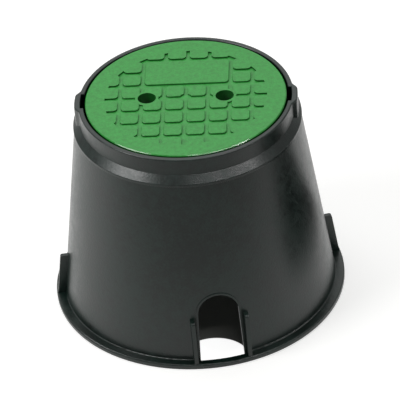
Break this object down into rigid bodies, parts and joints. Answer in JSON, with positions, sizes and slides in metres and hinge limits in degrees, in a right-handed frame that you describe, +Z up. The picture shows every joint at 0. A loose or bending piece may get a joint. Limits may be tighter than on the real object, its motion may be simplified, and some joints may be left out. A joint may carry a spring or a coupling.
{
  "type": "irrigation valve box",
  "caption": "Round conical valve box with a bottom flange, arched pipe notches and a flush twist-lock lid with a block tread and finger holes.",
  "frame": {"origin": "centre of the open base, on the plane it stands on", "axes": "+Z up along the box's axis; -Y through the front pipe notch; +X to the right seen from the front"},
  "size_m": [0.33, 0.33, 0.2545],
  "materials": {
    "body_plastic": "black polyolefin moulding, soft semi-gloss",
    "lid_plastic": "mid green polyolefin moulding, satin"
  },
  "bodies": {
    "body": {"body": "body_plastic"},
    "lid": {"lid": "lid_plastic"}
  },
  "joints": [
    {"name": "lid_turn", "type": "hinge", "parent": "body", "child": "lid", "pos_m": [0, 0, 0.222], "axis": [0, 0, 1], "range_deg": [0, 35]}
  ]
}
